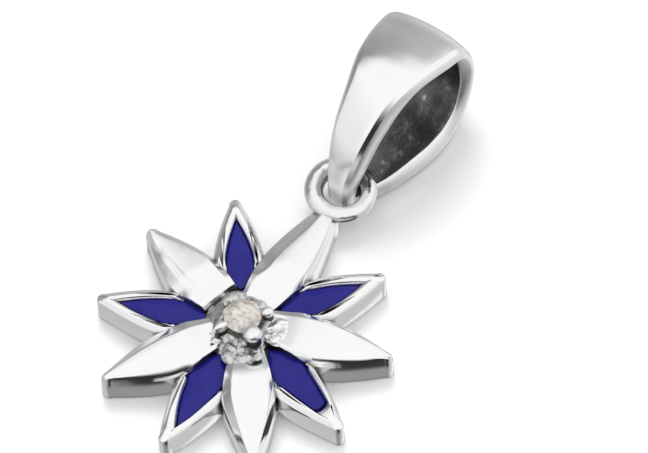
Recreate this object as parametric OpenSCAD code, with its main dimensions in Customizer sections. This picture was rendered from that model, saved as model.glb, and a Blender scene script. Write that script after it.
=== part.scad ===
// Star pendant with enamelled petals, a small claw-set stone and a domed bail.
// Millimetres. The star lies face up: +Z out of its face, +Y towards the bail,
// and the origin is the middle of the star's flat back.

/* [Star] */
// Radius from the centre to the tip of the farthest plain petal
plain_tip_r = 7.12; // [6.9:0.01:7.3]
// Half the greatest width of a plain petal
plain_half_w = 1.27; // [1.15:0.01:1.35]
// Radius from the centre to the tip of the farthest enamelled petal
rim_tip_r = 7.08; // [6.9:0.01:7.15]
// Half the greatest width of an enamelled petal
rim_half_w = 1.2; // [1.15:0.01:1.3]
// Height of the crest of a plain petal over the back, at its widest
crest_h = 2.02; // [1.9:0.01:2.1]
// Slope of the crest down towards the tip, in degrees
crest_slope = 5.5; // [4:0.5:7]
// Radius of the round crown of a plain petal
crown_r = 2.2; // [2:0.05:2.6]

/* [Enamel] */
// Height of the raised rim round each enamelled field
rim_h = 1.66; // [1.6:0.01:1.7]
// Height of the outer wall where the rim's bevel starts
bevel_h = 1.42; // [1.3:0.01:1.5]
// Width of the outer bevel
bevel_w = 0.26; // [0.2:0.01:0.3]
// Width of the rim's ridge
ridge_w = 0.1; // [0.06:0.01:0.14]
// Width of the inner slope of the rim
inner_slope_w = 0.14; // [0.1:0.01:0.18]
// Height of the floor of the enamelled recess
recess_h = 1.1; // [0.9:0.01:1.2]
// Height of the enamel's surface
enamel_h = 1.5; // [1.4:0.01:1.55]

/* [Setting] */
// Radius of the stone at its girdle
stone_r = 0.88; // [0.8:0.01:0.92]
// Height of the stone's girdle
girdle_h = 2.58; // [2.5:0.01:2.65]
// Radius of the setting's base
collet_r = 1.55; // [1.5:0.01:1.7]
// Height of the setting's wall between the claws
collet_h = 2; // [1.9:0.01:2.1]
// Radius of the bead on each claw
bead_r = 0.4; // [0.34:0.01:0.42]
// Height of the middle of the beads
bead_h = 2.5; // [2.45:0.01:2.55]
// Distance of the claws from the centre
claw_at = 1.17; // [1.1:0.01:1.2]

/* [Eyelet] */
// Distance of the eyelet's centre from the star's centre
eyelet_y = 8.52; // [8.5:0.01:8.6]
// Radius of the eyelet's hole
eyelet_hole_r = 0.86; // [0.84:0.01:0.9]
// Radius of the eyelet's wire
wire_r = 0.41; // [0.38:0.01:0.42]
// Height of the underside of the eyelet
eyelet_z = 1.08; // [1.02:0.01:1.15]
// Radius of the round neck between the petal and the eyelet
neck_r = 0.62; // [0.55:0.01:0.7]

/* [Bail] */
// Scale of the bail's width
bail_width_scale = 1; // [0.9:0.01:1.02]
// Turn of the bail in the eyelet, in degrees towards +X
bail_turn = 2.5; // [0:0.5:4]
// Depth of the round of the outer face
bail_round = 0.34; // [0.25:0.01:0.4]
// Scale of how far the shoulders of the outer face lie inside its width
bail_shoulder_scale = 1; // [0.8:0.01:1.2]

/* [Hidden] */

// Clearance between neighbouring pieces
gap = 0.02;
petals = 5;
petal_step = 360 / petals;
// Directions of the plain petal that carries the eyelet, and of the claws
eyelet_dir = 90;
claw_dirs = [-31, 43, 142, -121];
// Distance from the centre of the widest part of a petal
widest_r = 3.6;
// Radius and half width of a petal's root, and how the sides curve in towards it
root_r = 1.0;
root_half_w = 0.7;
root_curve = 1.4;
// Reach of the petal that runs into the eyelet
long_tip_r = 8.3;
// How much shorter than the farthest one each petal is, anticlockwise from the
// eyelet; the eyelet's own petal has its reach above
plain_short = [0, 0.12, 0.07, 0, 0];
rim_short = [0.18, 0.04, 0.06, 0.02, 0];
// Place of the neck and height where its round top begins
neck_y = 7.02;
neck_z = 1.05;
petal_steps = 10;
tip_steps = 3;
// Radii of the rounded tips, and how far the sides would meet beyond them
plain_tip_round = 0.34;
rim_tip_round = 0.32;
tip_over = 1.1;
// The outline's tip moves in by this many times an inset, its round grows
// tighter by this share of it, and stays at least this large
tip_inset = 2.9;
tip_tighten = 0.5;
least_round = 0.08;
// Inside its widest part an enamelled field reaches into the plain petals beside
// it, through these corners: radius and half width
field_corners = [[1.25, 0.7], [2.4, 1.4]];
// Clearance of the enamel from the plain petals
petal_gap = 0.04;
core_r = 2.2;
field_inset = bevel_w + ridge_w + inner_slope_w;
// Stone: radius of the table, heights of crown, girdle and pavilion, facets round
table_r = 0.55 * stone_r;
crown_h = 0.33 * stone_r;
girdle_t = 0.05;
pavilion_h = 0.86 * stone_r;
mains = 8;
mid_r = 0.79 * stone_r;
low_r = 0.24 * stone_r;

// Sections of the bail: y and z of the outer crest, half width, wall, and how
// far the inner edges and the outer shoulders lie inside that width
BY = 0;
BZ = 1;
BW = 2;
BT = 3;
BE = 4;
BS = 5;
bail_sections = [
    [ 9.60, 0.05, 1.05, 0.92, 0.18, 0.14],
    [ 8.75, 0.12, 0.78, 0.86, 0.12, 0.14],
    [ 8.14, 0.55, 0.64, 0.84, 0.06, 0.14],
    [ 7.97, 1.30, 0.62, 0.88, 0.06, 0.14],
    [ 8.02, 2.30, 0.68, 1.16, 0.06, 0.14],
    [ 8.25, 3.40, 0.82, 1.46, 0.06, 0.14],
    [ 8.72, 4.55, 0.98, 1.50, 0.06, 0.18],
    [ 9.55, 5.75, 1.16, 1.46, 0.06, 0.26],
    [10.80, 6.74, 1.37, 1.26, 0.06, 0.34],
    [12.15, 7.20, 1.64, 0.92, 0.08, 0.40],
    [13.45, 7.07, 1.88, 0.75, 0.14, 0.44],
    [14.80, 6.63, 2.05, 0.70, 0.24, 0.44],
    [16.08, 5.95, 2.14, 0.92, 0.32, 0.38],
    [16.86, 4.15, 2.14, 1.12, 0.34, 0.30],
    [16.72, 2.40, 2.14, 1.12, 0.26, 0.24],
    [15.90, 0.95, 2.18, 1.12, 0.22, 0.18],
    [14.50, 0.15, 2.24, 1.12, 0.26, 0.14],
    [13.10, 0.01, 2.20, 1.12, 0.30, 0.14],
    [11.80, 0.01, 1.93, 1.08, 0.30, 0.14],
    [10.60, 0.01, 1.52, 0.98, 0.25, 0.14]];
bail_fine = 3;
bail_round_steps = 8;

// Half width of a leaf at radius r, where its sides meet at tip
function leaf_w(r, tip, half_w) =
    r >= widest_r
    ? half_w * (1 - pow((r - widest_r) / (tip - widest_r), 1.5))
    : half_w - (half_w - root_half_w) * pow((widest_r - r) / (widest_r - root_r), root_curve);

// One side of a petal's outline from start, closer together near the tip, then
// round the tip to its very end; the end itself is left out
function petal_side(start, sharp, half_w, round, side) =
    let (arc = sharp - (tip_over + 1) * round)
    concat([for (i = [0 : petal_steps]) let (r = start + (arc - start) * sin(90 * i / petal_steps))
                [r, side * leaf_w(r, sharp, half_w)]],
           [for (i = [1 : tip_steps - 1]) let (a = 90 * i / tip_steps)
                [arc + round * sin(a), side * leaf_w(arc, sharp, half_w) * cos(a)]]);

// Outline of a petal along +X, pulled in by inset
function petal_outline(tip, half_w, tip_round, inset = 0) =
    let (sharp = tip + tip_over * tip_round - inset * tip_inset, w = half_w - inset,
         round = max(tip_round - tip_tighten * inset, least_round), start = root_r + inset,
         back = petal_side(start, sharp, w, round, 1), n = len(back))
    concat(petal_side(start, sharp, w, round, -1), [[sharp - tip_over * round, 0]],
           [for (i = [n - 1 : -1 : 0]) back[i]]);

// Outline of an enamelled field: the petal's own outside its widest part, and
// straight sides through its corners inside it
function field_outline(tip, inset) =
    let (whole = petal_outline(tip, rim_half_w, rim_tip_round, inset), w = rim_half_w - inset)
    concat([for (p = field_corners) [p[0], -p[1]]], [[widest_r, -w]],
           [for (p = whole) if (p[0] > widest_r + 0.01) p],
           [[widest_r, w]], [for (i = [len(field_corners) - 1 : -1 : 0]) field_corners[i]]);

// Closed solid through a list of rings with equal numbers of points
module skin(rings) {
    n = len(rings[0]);
    m = len(rings);
    polyhedron(
        points = [for (ring = rings) for (p = ring) p],
        faces = concat(
            [[for (i = [0 : n - 1]) i]],
            [[for (i = [n - 1 : -1 : 0]) (m - 1) * n + i]],
            [for (k = [0 : m - 2]) for (i = [0 : n - 1])
                [k * n + i, (k + 1) * n + i, (k + 1) * n + (i + 1) % n, k * n + (i + 1) % n]]));
}

module plain_petal(tip) {
    intersection() {
        linear_extrude(crest_h * 1.5) polygon(petal_outline(tip, plain_half_w, plain_tip_round));
        translate([widest_r, 0, crest_h - crown_r])
            rotate([0, 90 + crest_slope, 0])
                cylinder(r = crown_r, h = 4 * widest_r, center = true, $fn = 96);
    }
}

module rim_petal(tip) {
    levels = [[0, 0], [0, bevel_h], [bevel_w, rim_h], [bevel_w + ridge_w, rim_h],
              [field_inset, enamel_h - 0.04]];
    difference() {
        skin([for (l = levels)
            [for (p = petal_outline(tip, rim_half_w, rim_tip_round, l[0])) [p[0], p[1], l[1]]]]);
        translate([0, 0, recess_h]) linear_extrude(rim_h) polygon(field_outline(tip, field_inset));
    }
}

module eyelet() {
    translate([0, eyelet_y, eyelet_z + wire_r])
        rotate_extrude($fn = 72)
            translate([eyelet_hole_r + wire_r, 0]) circle(r = wire_r, $fn = 32);
    translate([0, neck_y, 0]) {
        cylinder(r = neck_r, h = neck_z, $fn = 48);
        translate([0, 0, neck_z]) sphere(r = neck_r, $fn = 48);
    }
}

// Room for the stone, a little larger than the stone all round
module stone_room() {
    r = stone_r + gap;
    rotate_extrude($fn = 64)
        polygon([[0, girdle_h - girdle_t - pavilion_h - gap], [r, girdle_h - girdle_t - gap],
                 [r, girdle_h + gap], [table_r + gap, girdle_h + crown_h + gap],
                 [table_r + gap, girdle_h + 2 * crown_h], [0, girdle_h + 2 * crown_h]]);
}

module setting() {
    difference() {
        union() {
            rotate_extrude($fn = 64)
                polygon([[0, 1], [collet_r, 1], [collet_r, 1.6], [1.25, collet_h], [0, collet_h]]);
            for (a = claw_dirs) rotate([0, 0, a]) translate([claw_at, 0, 0]) {
                translate([0, 0, 1.2]) cylinder(r = bead_r * 0.85, h = bead_h - 1.2, $fn = 32);
                translate([0, 0, bead_h]) sphere(r = bead_r, $fn = 32);
            }
        }
        stone_room();
    }
}

module star_body() {
    color([0.83, 0.83, 0.85])
        difference() {
            union() {
                cylinder(r = core_r, h = recess_h, $fn = 64);
                for (i = [0 : petals - 1]) rotate([0, 0, eyelet_dir + i * petal_step]) {
                    plain_petal(i == 0 ? long_tip_r : plain_tip_r - plain_short[i]);
                    rotate([0, 0, petal_step / 2]) rim_petal(rim_tip_r - rim_short[i]);
                }
                eyelet();
                setting();
            }
            stone_room();
            translate([0, eyelet_y, -1]) cylinder(r = eyelet_hole_r, h = 4, $fn = 72);
        }
}

// Enamel number i, in the recess that follows plain petal i
module enamel(i) {
    color([0.13, 0.11, 0.47])
        rotate([0, 0, eyelet_dir + (i + 0.5) * petal_step])
            translate([0, 0, recess_h + gap])
                linear_extrude(enamel_h - recess_h - gap)
                    difference() {
                        polygon(field_outline(rim_tip_r - rim_short[i], field_inset + gap));
                        for (side = [-1, 1]) rotate([0, 0, side * petal_step / 2])
                            polygon(petal_outline(long_tip_r, plain_half_w, plain_tip_round, -petal_gap));
                        circle(r = collet_r + gap, $fn = 64);
                    }
}

function ring(n, r, z, turn = 0) =
    [for (i = [0 : n - 1]) let (a = turn + i * 360 / n) [r * cos(a), r * sin(a), z]];

// Round brilliant: table, stars, kites and halves over the girdle, halves and
// mains under it; the heights of the middle rings keep every kite flat
module stone() {
    n = mains;
    half = 180 / n;
    mid_z = crown_h * (stone_r - mid_r * cos(half)) / (stone_r - table_r);
    low_z = -pavilion_h * (stone_r - low_r * cos(half)) / stone_r;
    points = concat(
        ring(n, table_r, crown_h), ring(n, mid_r, mid_z, half),
        ring(2 * n, stone_r, 0), ring(2 * n, stone_r, -girdle_t),
        ring(n, low_r, low_z - girdle_t, half), [[0, 0, -pavilion_h - girdle_t]]);
    mid = n;
    upper = 2 * n;
    lower = 4 * n;
    low = 6 * n;
    faces = concat(
        [[for (i = [n - 1 : -1 : 0]) i]],
        [for (i = [0 : n - 1]) let (q = (i + 1) % n, p = (i + n - 1) % n, m = 2 * i, o = (m + 2) % (2 * n))
            each [[q, mid + i, i],
                  [i, mid + i, upper + m, mid + p],
                  [mid + i, upper + m + 1, upper + m],
                  [mid + i, upper + o, upper + m + 1],
                  [lower + m, lower + m + 1, low + i],
                  [lower + m + 1, lower + o, low + i],
                  [lower + m, low + i, 7 * n, low + p]]],
        [for (j = [0 : 2 * n - 1]) let (q = (j + 1) % (2 * n))
            [upper + j, upper + q, lower + q, lower + j]]);
    color([0.93, 0.9, 0.84])
        translate([0, 0, girdle_h]) polyhedron(points = points, faces = faces);
}

// Point on a closed smooth curve through the sections
function blend(a, b, c, d, t) =
    0.5 * (2 * b + (c - a) * t + (2 * a - 5 * b + 4 * c - d) * t * t + (3 * b - a - 3 * c + d) * t * t * t);

function bail_row(k) =
    let (n = len(bail_sections), i = floor(k / bail_fine), t = k / bail_fine - i)
    blend(bail_sections[(i + n - 1) % n], bail_sections[i % n],
          bail_sections[(i + 1) % n], bail_sections[(i + 2) % n], t);

// Section of the bail in its own plane: x across, d below the crest
function bail_section(w, t, edge, shoulder) = concat(
    [for (j = [0 : bail_round_steps]) let (a = -90 + 180 * j / bail_round_steps)
        [(w - shoulder) * sin(a), bail_round * (1 - pow(cos(a), 0.9))]],
    [[w, 0.6 * t], [w - edge, t], [edge - w, t], [-w, 0.6 * t]]);

module bail() {
    count = len(bail_sections) * bail_fine;
    rows = [for (k = [0 : count - 1]) bail_row(k)];
    rings = [for (k = [0 : count - 1])
        let (row = rows[k], next = rows[(k + 1) % count], last = rows[(k + count - 1) % count],
             dy = next[BY] - last[BY], dz = next[BZ] - last[BZ], len = norm([dy, dz]),
             ny = dz / len, nz = -dy / len)
        [for (p = bail_section(row[BW] * bail_width_scale, row[BT], row[BE],
                               row[BS] * bail_shoulder_scale))
            [p[0], row[BY] + ny * p[1], row[BZ] + nz * p[1]]]];
    n = len(rings[0]);
    color([0.83, 0.83, 0.85])
        translate([0, eyelet_y, 0]) rotate([0, 0, -bail_turn]) translate([0, -eyelet_y, 0])
        polyhedron(
            points = [for (ring = rings) for (p = ring) p],
            faces = [for (k = [0 : count - 1]) for (i = [0 : n - 1]) let (q = (k + 1) % count, j = (i + 1) % n)
                [k * n + i, q * n + i, q * n + j, k * n + j]]);
}

star_body();
enamel(0);  // enamel_1
enamel(1);  // enamel_2
enamel(2);  // enamel_3
enamel(3);  // enamel_4
enamel(4);  // enamel_5
stone();
bail();
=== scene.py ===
"""Looks of a star pendant with enamelled petals, a claw-set stone and a tapered bail.

Sizes are in millimetres until they reach a mesh, where MM turns them into metres.
The star lies face up: +Z out of its face and +Y towards the bail.
"""

import logging
import math
from dataclasses import dataclass, field
from enum import Enum

import bpy
from mathutils import Matrix, Vector, noise


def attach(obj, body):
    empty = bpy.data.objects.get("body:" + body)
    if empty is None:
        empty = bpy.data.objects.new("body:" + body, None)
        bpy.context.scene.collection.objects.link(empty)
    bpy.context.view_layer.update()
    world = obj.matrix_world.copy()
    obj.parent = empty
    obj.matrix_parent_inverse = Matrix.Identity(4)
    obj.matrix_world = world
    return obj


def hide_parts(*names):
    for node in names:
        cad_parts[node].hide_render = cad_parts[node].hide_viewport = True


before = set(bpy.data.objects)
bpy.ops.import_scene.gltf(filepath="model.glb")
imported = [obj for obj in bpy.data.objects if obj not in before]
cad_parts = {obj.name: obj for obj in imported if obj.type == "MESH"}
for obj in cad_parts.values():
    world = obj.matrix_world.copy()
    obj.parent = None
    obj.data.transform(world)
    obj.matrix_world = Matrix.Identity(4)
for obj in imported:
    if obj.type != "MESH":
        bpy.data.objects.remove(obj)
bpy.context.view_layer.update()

MM = 0.001
PETALS = 5
PETAL_STEP = 360.0 / PETALS
EYELET_DIR = 90.0
NOISE_LOW = 0.3
NOISE_HIGH = 0.7

Point = tuple[float, float, float]
Tone = tuple[float, float]
Colour = tuple[float, float, float, float]

log = logging.getLogger("pendant")


def smooth(low: float, high: float, value: float) -> float:
    """Smooth step of a value between two limits.

    Args:
        low: Value where the step starts.
        high: Value where it ends.
        value: Value to place on the step.

    Returns:
        A number from 0 to 1.
    """
    share = min(1.0, max(0.0, (value - low) / (high - low)))
    return share * share * (3.0 - 2.0 * share)


def soft_min(first: float, second: float, blend: float) -> float:
    """Smaller of two heights, with the corner between them rounded.

    Args:
        first: First height.
        second: Second height.
        blend: Width of the rounding, in the heights' own unit.

    Returns:
        The blended height.
    """
    share = max(blend - abs(first - second), 0.0) / blend
    return min(first, second) - share * share * blend * 0.25


def turned(points: list[Point], degrees: float, about_y: float = 0.0) -> list[Point]:
    """Points turned about a vertical line through (0, about_y).

    Args:
        points: Points to turn.
        degrees: Turn, anticlockwise seen from above.
        about_y: Place of the line on the Y axis.

    Returns:
        The turned points.
    """
    cos, sin = math.cos(math.radians(degrees)), math.sin(math.radians(degrees))
    return [
        (x * cos - (y - about_y) * sin, x * sin + (y - about_y) * cos + about_y, z)
        for x, y, z in points
    ]


def circle_angles(steps: int) -> list[float]:
    """Angles in radians once round a circle, in equal steps."""
    return [2.0 * math.pi * k / steps for k in range(steps)]


def grey(tone: float) -> Colour:
    """A neutral colour of one tone."""
    return (tone, tone, tone, 1.0)


def placed(name: str, data: bpy.types.ID) -> bpy.types.Object:
    """A new object with this data, in the scene."""
    made = bpy.data.objects.new(name, data)
    bpy.context.scene.collection.objects.link(made)
    return made


class Slot(Enum):
    """Material slots of the record."""

    SILVER = "silver"
    ENAMEL = "enamel"
    STONE = "stone"


@dataclass
class NodeSheet:
    """A material's node tree with short calls for the nodes it needs."""

    material: bpy.types.Material

    def __post_init__(self) -> None:
        """Turns nodes on and keeps the shader and the object coordinates."""
        self.material.use_nodes = True
        self.tree = self.material.node_tree
        self.shader = self.tree.nodes["Principled BSDF"]
        self.place = self.tree.nodes.new("ShaderNodeTexCoord").outputs["Object"]

    def set(self, **values: float | Colour) -> None:
        """Sets sockets of the shader, with underscores for the spaces in their names."""
        for name, value in values.items():
            self.shader.inputs[name.replace("_", " ")].default_value = value

    def grain(
        self, size: float, detail: float = 3.0, stretch: Point = (1.0, 1.0, 1.0)
    ) -> bpy.types.NodeSocket:
        """Noise with grains of a given size.

        Args:
            size: Size of a grain in millimetres.
            detail: Octaves of finer noise.
            stretch: How many times closer the grains lie along each axis.

        Returns:
            The noise's value socket.
        """
        mapping = self.tree.nodes.new("ShaderNodeMapping")
        mapping.inputs["Scale"].default_value = stretch
        texture = self.tree.nodes.new("ShaderNodeTexNoise")
        texture.inputs["Scale"].default_value = 1.0 / (size * MM)
        texture.inputs["Detail"].default_value = detail
        self.tree.links.new(self.place, mapping.inputs["Vector"])
        self.tree.links.new(mapping.outputs["Vector"], texture.inputs["Vector"])
        return texture.outputs["Fac"]

    def ramp(self, source: bpy.types.NodeSocket, stops: list[tuple[float, Colour]]) -> bpy.types.NodeSocket:
        """Colours laid over a value.

        Args:
            source: Value socket from 0 to 1.
            stops: Places and colours.

        Returns:
            The ramp's colour socket.
        """
        node = self.tree.nodes.new("ShaderNodeValToRGB")
        while len(node.color_ramp.elements) < len(stops):
            node.color_ramp.elements.new(1.0)
        for element, (place, colour) in zip(node.color_ramp.elements, stops):
            element.position = place
            element.color = colour
        self.tree.links.new(source, node.inputs["Fac"])
        return node.outputs["Color"]

    def blend(self, source: bpy.types.NodeSocket, first: Colour, second: Colour) -> bpy.types.NodeSocket:
        """Goes from one colour to another over a noise value's middle band."""
        return self.ramp(source, [(NOISE_LOW, first), (NOISE_HIGH, second)])

    def range(self, source: bpy.types.NodeSocket, low: float, high: float) -> bpy.types.NodeSocket:
        """A noise value stretched from its middle band to a range.

        Args:
            source: Noise value socket.
            low: Result where the noise is lowest.
            high: Result where it is highest.

        Returns:
            The result's socket.
        """
        node = self.tree.nodes.new("ShaderNodeMapRange")
        node.inputs["From Min"].default_value = NOISE_LOW
        node.inputs["From Max"].default_value = NOISE_HIGH
        node.inputs["To Min"].default_value = low
        node.inputs["To Max"].default_value = high
        self.tree.links.new(source, node.inputs["Value"])
        return node.outputs["Result"]

    def shaded(self, colour: bpy.types.NodeSocket, reach: float, darkest: float) -> bpy.types.NodeSocket:
        """A colour darkened in crevices by painted shade, from how closely the nearby surfaces hide it.

        Args:
            colour: Colour socket.
            reach: How far a crevice's walls stand apart, in millimetres.
            darkest: Tone that the colour is multiplied by deep inside.

        Returns:
            The darkened colour's socket.
        """
        # Painted shade: ambient occlusion darkens the colour where surfaces close in.
        near = self.tree.nodes.new("ShaderNodeAmbientOcclusion")
        near.samples = 6
        near.inputs["Distance"].default_value = reach * MM
        dark = self.ramp(near.outputs["AO"], [(0.3, grey(darkest)), (0.8, grey(1.0))])
        node = self.tree.nodes.new("ShaderNodeMix")
        node.data_type = "RGBA"
        node.blend_type = "MULTIPLY"
        node.inputs[0].default_value = 1.0
        self.tree.links.new(colour, node.inputs[6])
        self.tree.links.new(dark, node.inputs[7])
        return node.outputs[2]

    def height(self, low: float, high: float) -> bpy.types.NodeSocket:
        """Share of the way up between two heights in millimetres."""
        split = self.tree.nodes.new("ShaderNodeSeparateXYZ")
        self.tree.links.new(self.place, split.inputs["Vector"])
        node = self.tree.nodes.new("ShaderNodeMapRange")
        node.inputs["From Min"].default_value = low * MM
        node.inputs["From Max"].default_value = high * MM
        self.tree.links.new(split.outputs["Z"], node.inputs["Value"])
        return node.outputs["Result"]

    def bump(self, layers: list[tuple[bpy.types.NodeSocket, float]]) -> None:
        """Stacks bump layers on the shader.

        Args:
            layers: Height sockets, each with its depth in millimetres.
        """
        normal = None
        for height, depth in layers:
            node = self.tree.nodes.new("ShaderNodeBump")
            node.inputs["Distance"].default_value = depth * MM
            self.tree.links.new(height, node.inputs["Height"])
            if normal is not None:
                self.tree.links.new(normal, node.inputs["Normal"])
            normal = node.outputs["Normal"]
        self.tree.links.new(normal, self.shader.inputs["Normal"])

    def link(self, source: bpy.types.NodeSocket, name: str) -> None:
        """Links a socket to the shader's input of that name."""
        self.tree.links.new(source, self.shader.inputs[name])


@dataclass(frozen=True)
class Finish:
    """A surface finish, made once and shared by the pieces that wear it."""

    name: str

    def material(self) -> bpy.types.Material:
        """The finish's material, made at its first use."""
        found = bpy.data.materials.get(self.name)
        if found is None:
            found = bpy.data.materials.new(self.name)
            self.dress(NodeSheet(found))
        return found

    def dress(self, sheet: NodeSheet) -> None:
        """Sets the shader; each finish has its own."""
        raise NotImplementedError


@dataclass(frozen=True)
class PolishedSilver(Finish):
    """Mirror-polished silver with the faint waviness of a hand-buffed casting."""

    name: str = "polished_silver"
    tone: float = 0.93
    gloss: Tone = (0.09, 0.14)
    wave_size: float = 1.1
    wave_depth: float = 0.012
    scratch_depth: float = 0.0006
    # The crevice fields set the painted shade in crevices: how far it reaches and its darkest tone.
    crevice: float = 0.35
    crevice_shade_tone: float = 0.22

    def dress(self, sheet: NodeSheet) -> None:
        """Metal whose tone, gloss and surface vary a little, with painted shade darkening its crevices."""
        t = self.tone
        sheet.set(Metallic=1.0)
        tones = sheet.blend(sheet.grain(2.2), (t * 0.97, t * 0.97, t * 0.98, 1.0), grey(t))
        sheet.link(sheet.shaded(tones, self.crevice, self.crevice_shade_tone), "Base Color")
        sheet.link(sheet.range(sheet.grain(0.7), *self.gloss), "Roughness")
        sheet.bump(
            [
                (sheet.grain(self.wave_size, 1.0), self.wave_depth),
                (sheet.grain(0.05, 2.0, (1.0, 6.0, 1.0)), self.scratch_depth),
            ]
        )


@dataclass(frozen=True)
class BailSilver(PolishedSilver):
    """The bail's polish, softer on the low end of its front leg where it rubs in the eyelet."""

    name: str = "bail_silver"
    wave_depth: float = 0.004
    low: float = 2.2
    high: float = 5.0
    worn: float = 0.42

    def dress(self, sheet: NodeSheet) -> None:
        """The polished metal with its gloss fading towards the eyelet."""
        super().dress(sheet)
        stops = [(0.0, grey(self.worn)), (1.0, grey(self.gloss[1]))]
        sheet.link(sheet.ramp(sheet.height(self.low, self.high), stops), "Roughness")


@dataclass(frozen=True)
class BeadSilver(PolishedSilver):
    """The claws' beads, a little softer than the petals."""

    name: str = "bead_silver"
    gloss: Tone = (0.3, 0.36)
    # Painted crevice shade with a shorter reach on the beads.
    crevice: float = 0.12


@dataclass(frozen=True)
class RingSilver(PolishedSilver):
    """The eyelet's silver, hammered and scuffed by the bail."""

    name: str = "ring_silver"
    tone: float = 0.88
    gloss: Tone = (0.14, 0.26)
    wave_size: float = 0.45
    wave_depth: float = 0.035


@dataclass(frozen=True)
class SatinSilver(Finish):
    """Evenly filed silver on the bail's flat sides."""

    name: str = "satin_silver"
    tone: float = 0.94

    def dress(self, sheet: NodeSheet) -> None:
        """Even soft metal with fine filing marks."""
        t = self.tone
        sheet.set(Metallic=1.0)
        tones = sheet.blend(sheet.grain(1.5), (t * 0.95, t * 0.95, t * 0.96, 1.0), grey(t))
        sheet.link(tones, "Base Color")
        sheet.link(sheet.range(sheet.grain(0.5), 0.4, 0.46), "Roughness")
        sheet.bump([(sheet.grain(0.06, 2.0, (5.0, 1.0, 1.0)), 0.0012)])


@dataclass(frozen=True)
class CastSilver(Finish):
    """Bright silver left rough from casting, round the claws."""

    name: str = "cast_silver"
    pit_tone: float = 0.66
    top_tone: float = 0.98
    lump_depth: float = 0.004
    crevice_shade_tone: float = 0.55

    def dress(self, sheet: NodeSheet) -> None:
        """Lumpy metal with soft grey pits."""
        pits = sheet.grain(0.26, 3.0)
        sheet.set(Metallic=1.0)
        tones = sheet.ramp(pits, [(0.34, grey(self.pit_tone)), (0.56, grey(self.top_tone))])
        # Painted shade in the crevices, milder than on the polished silver.
        sheet.link(sheet.shaded(tones, 0.3, self.crevice_shade_tone), "Base Color")
        sheet.link(sheet.range(pits, 0.46, 0.3), "Roughness")
        sheet.bump([(pits, self.lump_depth), (sheet.grain(0.4, 1.0), self.lump_depth * 1.5)])


@dataclass(frozen=True)
class GreyCast(CastSilver):
    """Duller rough casting on the collet's walls."""

    name: str = "grey_cast"
    pit_tone: float = 0.26
    top_tone: float = 0.7
    lump_depth: float = 0.007
    # Deeper painted shade in this finish's crevices.
    crevice_shade_tone: float = 0.2


@dataclass(frozen=True)
class ShadedSilver(Finish):
    """Silver darkened with painted shade, on the inside of the bail and on the plain petals' walls beside the
    enamel.
    """

    name: str = "shaded_silver"
    low: float = 0.1
    middle: float = 0.2
    high: float = 0.5

    def dress(self, sheet: NodeSheet) -> None:
        """Dark mottled metal: painted shade, with a few lighter spots as painted glints."""
        mottle = sheet.grain(0.8, 5.0)
        tones = ((0.35, self.low), (0.58, self.middle), (0.72, self.high))
        sheet.set(Metallic=1.0)
        sheet.link(sheet.ramp(mottle, [(place, (t, t, t * 1.02, 1.0)) for place, t in tones]), "Base Color")
        sheet.link(sheet.range(mottle, 0.42, 0.26), "Roughness")
        sheet.bump([(mottle, 0.03), (sheet.grain(0.15, 3.0), 0.012)])


@dataclass(frozen=True)
class CreviceShadeSilver(ShadedSilver):
    """Nearly black silver deep between pieces: painted shade."""

    name: str = "crevice_shade_silver"
    low: float = 0.02
    middle: float = 0.05
    high: float = 0.14


@dataclass(frozen=True)
class BlueEnamel(Finish):
    """Deep violet-blue glass enamel under a clear polished face."""

    name: str = "blue_enamel"
    deep: Colour = (0.006, 0.005, 0.165, 1.0)
    pale: Colour = (0.013, 0.011, 0.2, 1.0)

    def dress(self, sheet: NodeSheet) -> None:
        """Dark blue body with a clear coat and a slightly uneven face."""
        sheet.set(Roughness=0.35, IOR=1.45, Specular_IOR_Level=0.2, Coat_Weight=0.3, Coat_Roughness=0.05)
        sheet.link(sheet.blend(sheet.grain(1.4, 2.0), self.deep, self.pale), "Base Color")
        sheet.bump([(sheet.grain(1.8, 1.0), 0.02)])


@dataclass(frozen=True)
class CutStone(Finish):
    """Pale, faintly warm cut stone."""

    name: str = "pale_stone"
    # The brown and the white are painted reflection, standing in for the facets' dark and bright flashes;
    # cream is the stone's own tone.
    dark_facet_flash: Colour = (0.5, 0.43, 0.36, 1.0)
    cream: Colour = (0.82, 0.76, 0.68, 1.0)
    clear: Colour = (1.0, 0.99, 0.97, 1.0)

    def dress(self, sheet: NodeSheet) -> None:
        """Half clear, glassy body, mottled from brown through cream to white as painted reflection of the
        facets' flashes.
        """
        sheet.set(Roughness=0.03, IOR=2.2, Transmission_Weight=0.4)
        mottle = sheet.grain(0.36, 2.0, (1.0, 1.3, 1.0))
        tones = sheet.ramp(mottle, [(0.36, self.dark_facet_flash), (0.5, self.cream), (0.64, self.clear)])
        sheet.link(tones, "Base Color")


@dataclass(frozen=True)
class PaleFloor(Finish):
    """Matt white paper."""

    name: str = "pale_paper"

    def dress(self, sheet: NodeSheet) -> None:
        """White with the least unevenness."""
        sheet.set(Roughness=0.9)
        sheet.link(sheet.blend(sheet.grain(9.0, 2.0), grey(0.95), grey(0.97)), "Base Color")


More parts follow.
